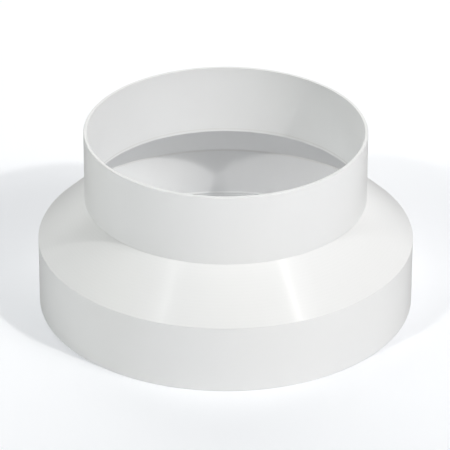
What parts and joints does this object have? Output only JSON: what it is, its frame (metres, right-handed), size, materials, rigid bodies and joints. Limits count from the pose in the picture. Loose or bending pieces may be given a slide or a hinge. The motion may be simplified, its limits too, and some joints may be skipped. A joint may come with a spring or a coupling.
{
  "type": "duct reducer",
  "caption": "Round white plastic duct reducer: a wide collar and a narrow collar on one axis, joined by a short cone and open right through.",
  "frame": {"origin": "centre of the wide mouth, in the plane it stands on", "axes": "+Z along the duct, from the wide mouth to the narrow one; the part is round, so X and Y are free"},
  "size_m": [0.2, 0.2, 0.1],
  "materials": {
    "collar_plastic": "white, smooth, satin",
    "cone_plastic": "white, semi-gloss, with very fine turning rings",
    "cement": "white solvent cement, glossy"
  },
  "bodies": {
    "root": {"small_collar": "collar_plastic", "cone": "cone_plastic", "large_collar": "collar_plastic", "neck_bead": "cement", "shoulder_bead": "cement"}
  },
  "joints": []
}
